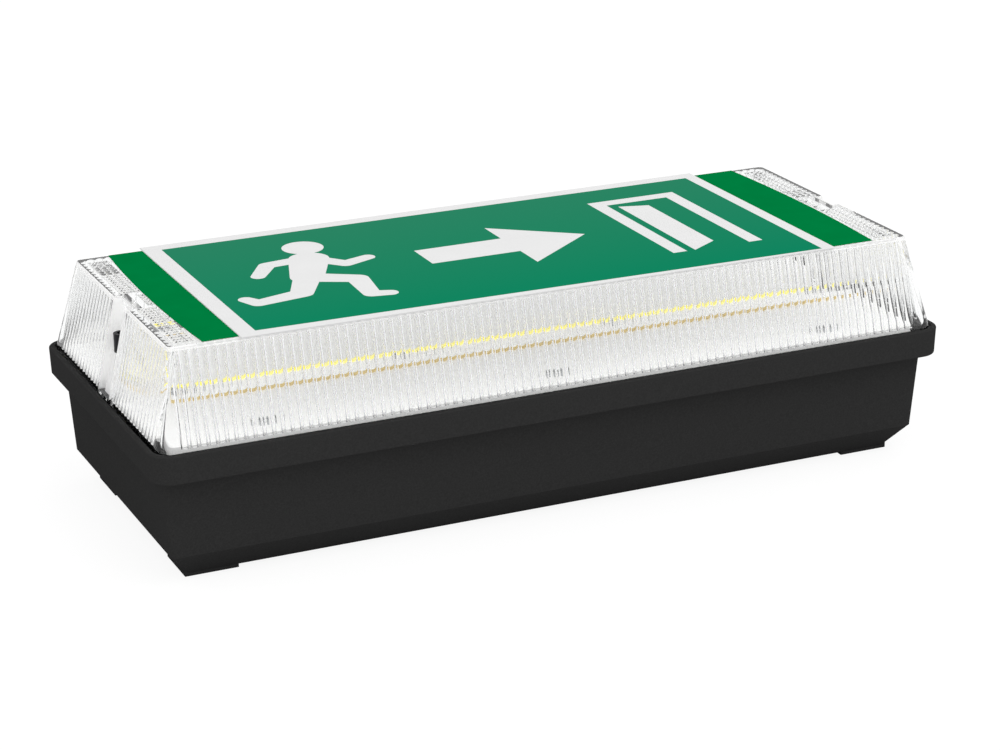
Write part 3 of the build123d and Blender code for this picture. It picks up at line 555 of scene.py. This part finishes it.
def build_cover(bm, skirt_half, bottom, top):
    """The clear cover: smooth outside, fluted inside, a recess with its pillar at each end, a skirt
    and a flat top with small pyramids under both its ends."""
    bulge = POCKET_FLOOR - COVER_WALL
    ceiling = top - CEILING_WALL

    def at(z):
        return between_halves(skirt_half, TOP_HALF, (z - SKIRT_TOP) / (top - SKIRT_TOP))

    def radius(z):
        return SKIRT_CORNER + (TOP_CORNER - SKIRT_CORNER) * (z - SKIRT_TOP) / (top - SKIRT_TOP)

    def outer(z, pocket=None, pillar=None, inset=0):
        level = max(z, SKIRT_TOP)
        return (z, outer_loop([h - inset for h in at(level)], radius(level) - inset, pocket, pillar))

    def inner(z, fluted=0, bulge=None):
        level = max(z, SKIRT_TOP)
        half = tuple(h - COVER_WALL for h in at(level))
        return (z, inner_loop(half, max(radius(level) - COVER_WALL, LEAST_RADIUS), fluted, bulge))

    outer_high = add_loops(bm, [
        outer(bottom),
        outer(SKIRT_TOP),
        outer(LEDGE_TOP),
        outer(LEDGE_TOP, POCKET_FLOOR, PILLAR_INSET),
        outer(PILLAR_TOP, POCKET_FLOOR, PILLAR_INSET),
        outer(PILLAR_TOP, POCKET_FLOOR),
        outer(ceiling, POCKET_FLOOR),
        outer(top - TOP_BEVEL, POCKET_FLOOR),
        outer(top, POCKET_FLOOR, None, TOP_BEVEL),
    ])[1]
    # The top's edge and the recess walls take the edge material, with its painted glow
    for face in bm.faces:
        middle = face.calc_center_median()
        across = abs(middle.y) < POCKET_HALF + EDGE_TOLERANCE
        recess_wall = across and abs(middle.x) > POCKET_FLOOR + EDGE_TOLERANCE and middle.z > LEDGE_TOP
        if middle.z > ceiling or recess_wall:
            face.material_index = EDGE_SLOT
    add_loops(bm, [
        inner(bottom),
        inner(LEDGE_BOTTOM),
        inner(LEDGE_BOTTOM, 0, bulge),
        inner(FLUTE_BOTTOM, 0, bulge),
    ] + [
        inner(FLUTE_BOTTOM + (ceiling - FLUTE_BOTTOM) * k / FLUTE_LEVELS, 1, bulge)
        for k in range(FLUTE_LEVELS + 1)
    ])
    # The flutes' lower ends take the edge material, with its painted glow
    for face in bm.faces:
        if all(abs(v.co.z - FLUTE_BOTTOM) < EDGE_TOLERANCE for v in face.verts):
            face.material_index = EDGE_SLOT
    bm.faces.new(outer_high)
    beside = POCKET_HALF + COVER_WALL + PRISM_MARGIN
    field_end = TOP_HALF[0] - COVER_WALL - PRISM_MARGIN
    row_end = TOP_HALF[1] - COVER_WALL - PRISM_MARGIN
    for sign in (-1, 1):
        for side in (-1, 1):
            prism_field(bm, ceiling, sign, side, field_end, beside, row_end)
        prism_field(bm, ceiling, sign, 1, bulge - PRISM_MARGIN, -POCKET_HALF, POCKET_HALF)
    bmesh.ops.remove_doubles(bm, verts=bm.verts, dist=JOIN_DISTANCE)
    bmesh.ops.dissolve_degenerate(bm, edges=bm.edges, dist=JOIN_DISTANCE)
    fill_level(bm, bottom)
    fill_level(bm, ceiling)


def fill_level(bm, z):
    """Close what is open at one height."""
    rim = [
        e for e in bm.edges
        if e.is_boundary and all(abs(v.co.z - z) < EDGE_TOLERANCE for v in e.verts)
    ]
    bmesh.ops.triangle_fill(bm, edges=rim, use_dissolve=False)


def prism_field(bm, ceiling, sign, side, end, row_start, row_end):
    """Rows of small pyramids under the flat top at one end, from where the film stops out to end, and
    across from row_start to row_end; sign and side mirror it."""
    columns = int((end - PRISM_START) / PRISM_PITCH)
    rows = int((row_end - row_start) / PRISM_PITCH)
    points = []
    for i in range(columns + 1):
        x = sign * (PRISM_START + i * PRISM_PITCH)
        across = [side * (row_start + k * PRISM_PITCH) for k in range(rows + 1)]
        points.append([bm.verts.new((x, y, ceiling)) for y in across])
    for i in range(columns):
        for k in range(rows):
            corners = (points[i][k], points[i + 1][k], points[i + 1][k + 1], points[i][k + 1])
            centre = sum((v.co for v in corners), Vector()) / len(corners)
            tip = bm.verts.new((centre.x, centre.y, ceiling - PRISM_DEPTH))
            for a, b in zip(corners, corners[1:] + corners[:1]):
                bm.faces.new((a, b, tip))


# Tray

def tray_loop(inset):
    """The tray's outline, notched round the cover's recesses and drawn in by the inset."""
    half = [h - inset for h in TRAY_HALF]
    wide, far = TRAY_NOTCH_HALF + inset, TRAY_NOTCH_X - inset
    loop = []
    for normal, along, axis_n, axis_d in SIDES:
        if axis_n == 0:
            steps = ((-wide, half[0]), (-wide, far), (wide, far), (wide, half[0]))
            loop += [normal * d + along * s for s, d in steps]
        loop += corner_points(half, TRAY_CORNER - inset, axis_n, axis_d, normal, along)
    return loop


def build_tray(bm, bottom, top):
    """A tray of folded sheet, open below."""
    outer_low, outer_high = add_loops(
        bm, [(bottom, tray_loop(0)), (top - TRAY_FOLD, tray_loop(0)), (top, tray_loop(TRAY_FOLD))]
    )
    inner_low, inner_high = add_loops(
        bm, [(bottom, tray_loop(TRAY_SHEET)), (top - TRAY_SHEET, tray_loop(TRAY_SHEET))]
    )
    bm.faces.new(outer_high)
    bm.faces.new(inner_high)
    rim = ring_edges(bm, outer_low) + ring_edges(bm, inner_low)
    bmesh.ops.triangle_fill(bm, edges=rim, use_beauty=True)


# Sign

def flat_body(bm, points, low, high):
    """A thin flat body with the given outline."""
    lower = [bm.verts.new((x, y, low)) for x, y in points]
    upper = [bm.verts.new((x, y, high)) for x, y in points]
    bm.faces.new(lower)
    bm.faces.new(upper)
    for i in range(len(points)):
        j = (i + 1) % len(points)
        bm.faces.new((lower[i], lower[j], upper[j], upper[i]))


def rectangle(x0, x1, y0, y1):
    return [(x0, y0), (x1, y0), (x1, y1), (x0, y1)]


def capsule(start, end, start_radius, end_radius):
    """The outline of a limb with round ends of two sizes."""
    a, b = Vector(start), Vector(end)
    heading = (b - a).normalized()
    side = Vector((-heading.y, heading.x))
    points = []
    for centre, radius, sign in ((b, end_radius, 1), (a, start_radius, -1)):
        for k in range(LIMB_STEPS + 1):
            turn = pi / 2 - k / LIMB_STEPS * pi
            points.append(centre + radius * sign * (heading * cos(turn) + side * sin(turn)))
    return [(p.x, p.y) for p in points]


def disc(centre, radius):
    turns = [2 * pi * k / DISC_STEPS for k in range(DISC_STEPS)]
    return [(centre[0] + radius * cos(turn), centre[1] + radius * sin(turn)) for turn in turns]


def runner(scale):
    """A running figure of plain rounded limbs, as parts of one flat shape; y is up the sign."""
    shapes = [disc(*RUNNER_HEAD)] + [capsule(*limb) for limb in RUNNER_LIMBS]
    return [[(x * scale, y * scale) for x, y in shape] for shape in shapes]


def arrow(length, shaft, head_length, head_width):
    """A straight arrow that points along +X, centred on its own length."""
    tail = -length / 2
    neck = length / 2 - head_length
    return [
        rectangle(tail, neck, -shaft / 2, shaft / 2),
        [(neck, -head_width / 2), (length / 2, 0), (neck, head_width / 2)],
    ]


def doorway(width, height, frame):
    """An open doorway: two posts, a head, and a leaf that stands ajar."""
    left, right = -width / 2, width / 2
    low, high = -height / 2, height / 2
    leaf = [
        (left + frame * LEAF_GAP, low),
        (left + width * LEAF_REACH, low + height * LEAF_RISE),
        (left + width * LEAF_REACH, high - frame * LEAF_DROP),
        (left + frame * LEAF_GAP, high - frame * LEAF_GAP),
    ]
    return [
        rectangle(left, left + frame, low, high),
        rectangle(right - frame, right, low, high),
        rectangle(left, right, high - frame, high),
        leaf,
    ]


def legend(panel):
    """The sign's shapes, placed on the green panel."""
    x0, x1, y0, y1 = panel
    middle_y = (y0 + y1) / 2
    width = x1 - x0
    height = y1 - y0
    head_length, head_width = [height * share for share in ARROW_HEAD]
    figure = runner(height * RUNNER_HEIGHT / RUNNER_UNITS)
    pointer = arrow(width * ARROW_LENGTH, height * ARROW_SHAFT, head_length, head_width)
    door = doorway(width * DOOR_SIZE[0], height * DOOR_SIZE[1], height * DOOR_FRAME)
    shapes = []
    for place, parts in ((RUNNER_PLACE, figure), (ARROW_PLACE, pointer), (DOOR_PLACE, door)):
        centre_x = x0 + width * place
        shapes += [[(x + centre_x, y + middle_y) for x, y in part] for part in parts]
    return shapes


def build_plate(bm, low, high):
    """The sign's white sheet."""
    top = high.z - SHEET_DROP
    flat_body(bm, rectangle(low.x, high.x, low.y, high.y), low.z, top)
    edges = [e for e in bm.edges if min(v.co.z for v in e.verts) > (low.z + top) / 2]
    bmesh.ops.bevel(bm, geom=edges, offset=PLATE_BEVEL, segments=PLATE_BEVEL_STEPS, affect="EDGES")


def make_sign():
    """The plate with its green panel and the legend on it, each a thin body of its own."""
    low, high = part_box("sign_plate")
    left, right = low.x + BORDER_X[0], high.x - BORDER_X[1]
    front, back = low.y + BORDER_FRONT[0], high.y - BORDER_BACK
    panel = (left, right, front, back)
    corners = [(left, front), (right, low.y + BORDER_FRONT[1]), (right, back), (left, back)]
    white = sign_white()
    green = sign_green(front, back)
    plate = new_piece("sign_sheet", lambda bm: build_plate(bm, low, high), [white])
    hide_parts("sign_plate")
    sheet_z = high.z - SHEET_DROP
    field_z = high.z - FIELD_DROP
    new_piece("sign_field", lambda bm: flat_body(bm, corners, sheet_z, field_z), [green])

    def shapes(bm):
        for i, outline in enumerate(legend(panel)):
            flat_body(bm, outline, field_z, high.z - i * LAYER_STEP)

    new_piece("sign_legend", shapes, [white])


# Stage, camera and light

def make_stage():
    """A pale floor. Seen directly it is white, with the object's shadow on it."""
    bpy.ops.mesh.primitive_plane_add(size=FLOOR_SIZE)
    floor = bpy.context.object
    floor.name = "floor"
    material = bpy.data.materials.new("floor_white")
    material.use_nodes = True
    nodes, links = material.node_tree.nodes, material.node_tree.links
    shader = nodes["Principled BSDF"]
    shader.inputs["Base Color"].default_value = (FLOOR_SHADE, FLOOR_SHADE, FLOOR_SHADE, 1.0)
    shader.inputs["Roughness"].default_value = FLOOR_ROUGHNESS
    shader.inputs["Specular IOR Level"].default_value = 0.0
    white = nodes.new("ShaderNodeEmission")
    white.inputs["Strength"].default_value = FLOOR_SEEN_LEVEL
    share = nodes.new("ShaderNodeMath")
    share.operation = "MULTIPLY"
    share.inputs[1].default_value = FLOOR_SEEN_SHARE
    mix = nodes.new("ShaderNodeMixShader")
    links.new(seen_directly(nodes, links), share.inputs[0])
    links.new(share.outputs["Value"], mix.inputs["Fac"])
    links.new(shader.outputs["BSDF"], mix.inputs[1])
    links.new(white.outputs["Emission"], mix.inputs[2])
    links.new(mix.outputs["Shader"], nodes["Material Output"].inputs["Surface"])
    floor.data.materials.append(material)


def seen_directly(nodes, links):
    """1 for camera, glossy and transmission rays, otherwise 0."""
    path = nodes.new("ShaderNodeLightPath")
    first = nodes.new("ShaderNodeMath")
    second = nodes.new("ShaderNodeMath")
    first.operation = "MAXIMUM"
    second.operation = "MAXIMUM"
    links.new(path.outputs["Is Camera Ray"], first.inputs[0])
    links.new(path.outputs["Is Glossy Ray"], first.inputs[1])
    links.new(first.outputs["Value"], second.inputs[0])
    links.new(path.outputs["Is Transmission Ray"], second.inputs[1])
    return second.outputs["Value"]


def make_world():
    """An even white surrounding, a little dimmer as a light than where it is seen."""
    world = bpy.data.worlds.new("studio")
    world.use_nodes = True
    bpy.context.scene.world = world
    nodes, links = world.node_tree.nodes, world.node_tree.links
    background = nodes["Background"]
    background.inputs["Color"].default_value = WHITE
    level = nodes.new("ShaderNodeMapRange")
    level.inputs["To Min"].default_value = WORLD_LEVEL
    level.inputs["To Max"].default_value = 1.0
    links.new(seen_directly(nodes, links), level.inputs["Value"])
    links.new(level.outputs["Result"], background.inputs["Strength"])


def make_key():
    light = bpy.data.lights.new("key", "AREA")
    light.energy = KEY_POWER
    light.size = KEY_SIZE
    lamp = bpy.data.objects.new("key", light)
    bpy.context.scene.collection.objects.link(lamp)
    lamp.location = KEY_PLACE
    lamp.rotation_mode = "QUATERNION"
    lamp.rotation_quaternion = (-KEY_PLACE).to_track_quat("-Z", "Y")


def make_camera():
    data = bpy.data.cameras.new("camera")
    data.lens = CAMERA_LENS
    data.sensor_width = SENSOR_WIDTH
    camera = bpy.data.objects.new("camera", data)
    bpy.context.scene.collection.objects.link(camera)
    camera.location = CAMERA_PLACE
    camera.rotation_mode = "QUATERNION"
    aim = (CAMERA_AIM - CAMERA_PLACE).to_track_quat("-Z", "Y")
    camera.rotation_quaternion = aim @ Quaternion((0, 0, 1), radians(CAMERA_ROLL))
    bpy.context.scene.camera = camera


def finishes():
    """The material of every CAD node, by name."""
    steel = metal("zinc_steel", srgb(190, 192, 195), roughness=0.35)
    spring = metal("spring_steel", srgb(180, 182, 186), roughness=0.3)
    black = black_plastic()
    rubber = seal_rubber()
    white = plain("white_plastic", (230, 230, 226))
    dark = metal("dark_steel", srgb(40, 40, 42), roughness=0.45)
    sleeve = plain("cell_sleeve", (54, 110, 170), roughness=0.3)
    dark_sleeve = plain("capacitor_sleeve", (38, 40, 52), roughness=0.35)
    board_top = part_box("led_board")[1].z
    finish = {
        "base_housing": black,
        "rim_seal": rubber,
        "diffuser_cover": clear_plastic(),
        "green_film": film_green(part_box("green_film")[0].z),
        "sign_plate": white,
        "gear_tray": white_paint_painted_glow(),
        "led_board": board_white_painted_glow(board_top),
        "led_emitters": emitter_yellow(),
        "battery_holder": white,
        "driver_board": plain("green_board", (40, 110, 70), roughness=0.4),
        "transformer": plain("ferrite", (62, 60, 58), roughness=0.7),
        "mains_capacitor": dark_sleeve,
        "output_capacitor": dark_sleeve,
        "power_transistor": dark_sleeve,
        "film_capacitor": plain("film_box", (208, 168, 50), roughness=0.35),
        "fuse": fuse_glass(),
        "fuse_clips": spring,
        "heat_sink": metal("aluminium", srgb(200, 200, 202), roughness=0.4),
        "terminal_block": white,
        "cable_grommet": rubber,
        "blanking_plug": rubber,
    }
    for name in ("mains_socket", "battery_socket", "led_socket"):
        finish[name] = white
    for side in ("left", "right"):
        finish[f"cover_screw_{side}"] = dark
        finish[f"screw_seal_{side}"] = rubber
        finish[f"battery_strap_{side}"] = spring
    for name in ("tray", "led_board", "holder", "driver", "terminal"):
        finish[f"{name}_screws"] = steel
    for i in range(CELL_COUNT):
        finish[f"battery_cell_{i + 1}"] = sleeve
    return finish


def main():
    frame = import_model()
    bpy.context.scene.view_settings.view_transform = "Standard"
    make_camera()
    make_world()
    make_stage()
    make_key()
    finish = finishes()
    dress(frame["nodes"], finish)
    cover_low, cover_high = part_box("diffuser_cover")
    skirt_half = (cover_high.x, cover_high.y)
    cover = new_piece(
        "clear_cover",
        lambda bm: build_cover(bm, skirt_half, cover_low.z, cover_high.z),
        [finish["diffuser_cover"], cover_edge_painted_glow()],
    )
    smooth_below(cover, SMOOTH_ANGLE)
    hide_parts("diffuser_cover")
    tray_low, tray_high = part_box("gear_tray")
    tray = new_piece(
        "folded_tray",
        lambda bm: build_tray(bm, tray_low.z, tray_high.z),
        [finish["gear_tray"]],
    )
    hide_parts("gear_tray")
    make_sign()


main()
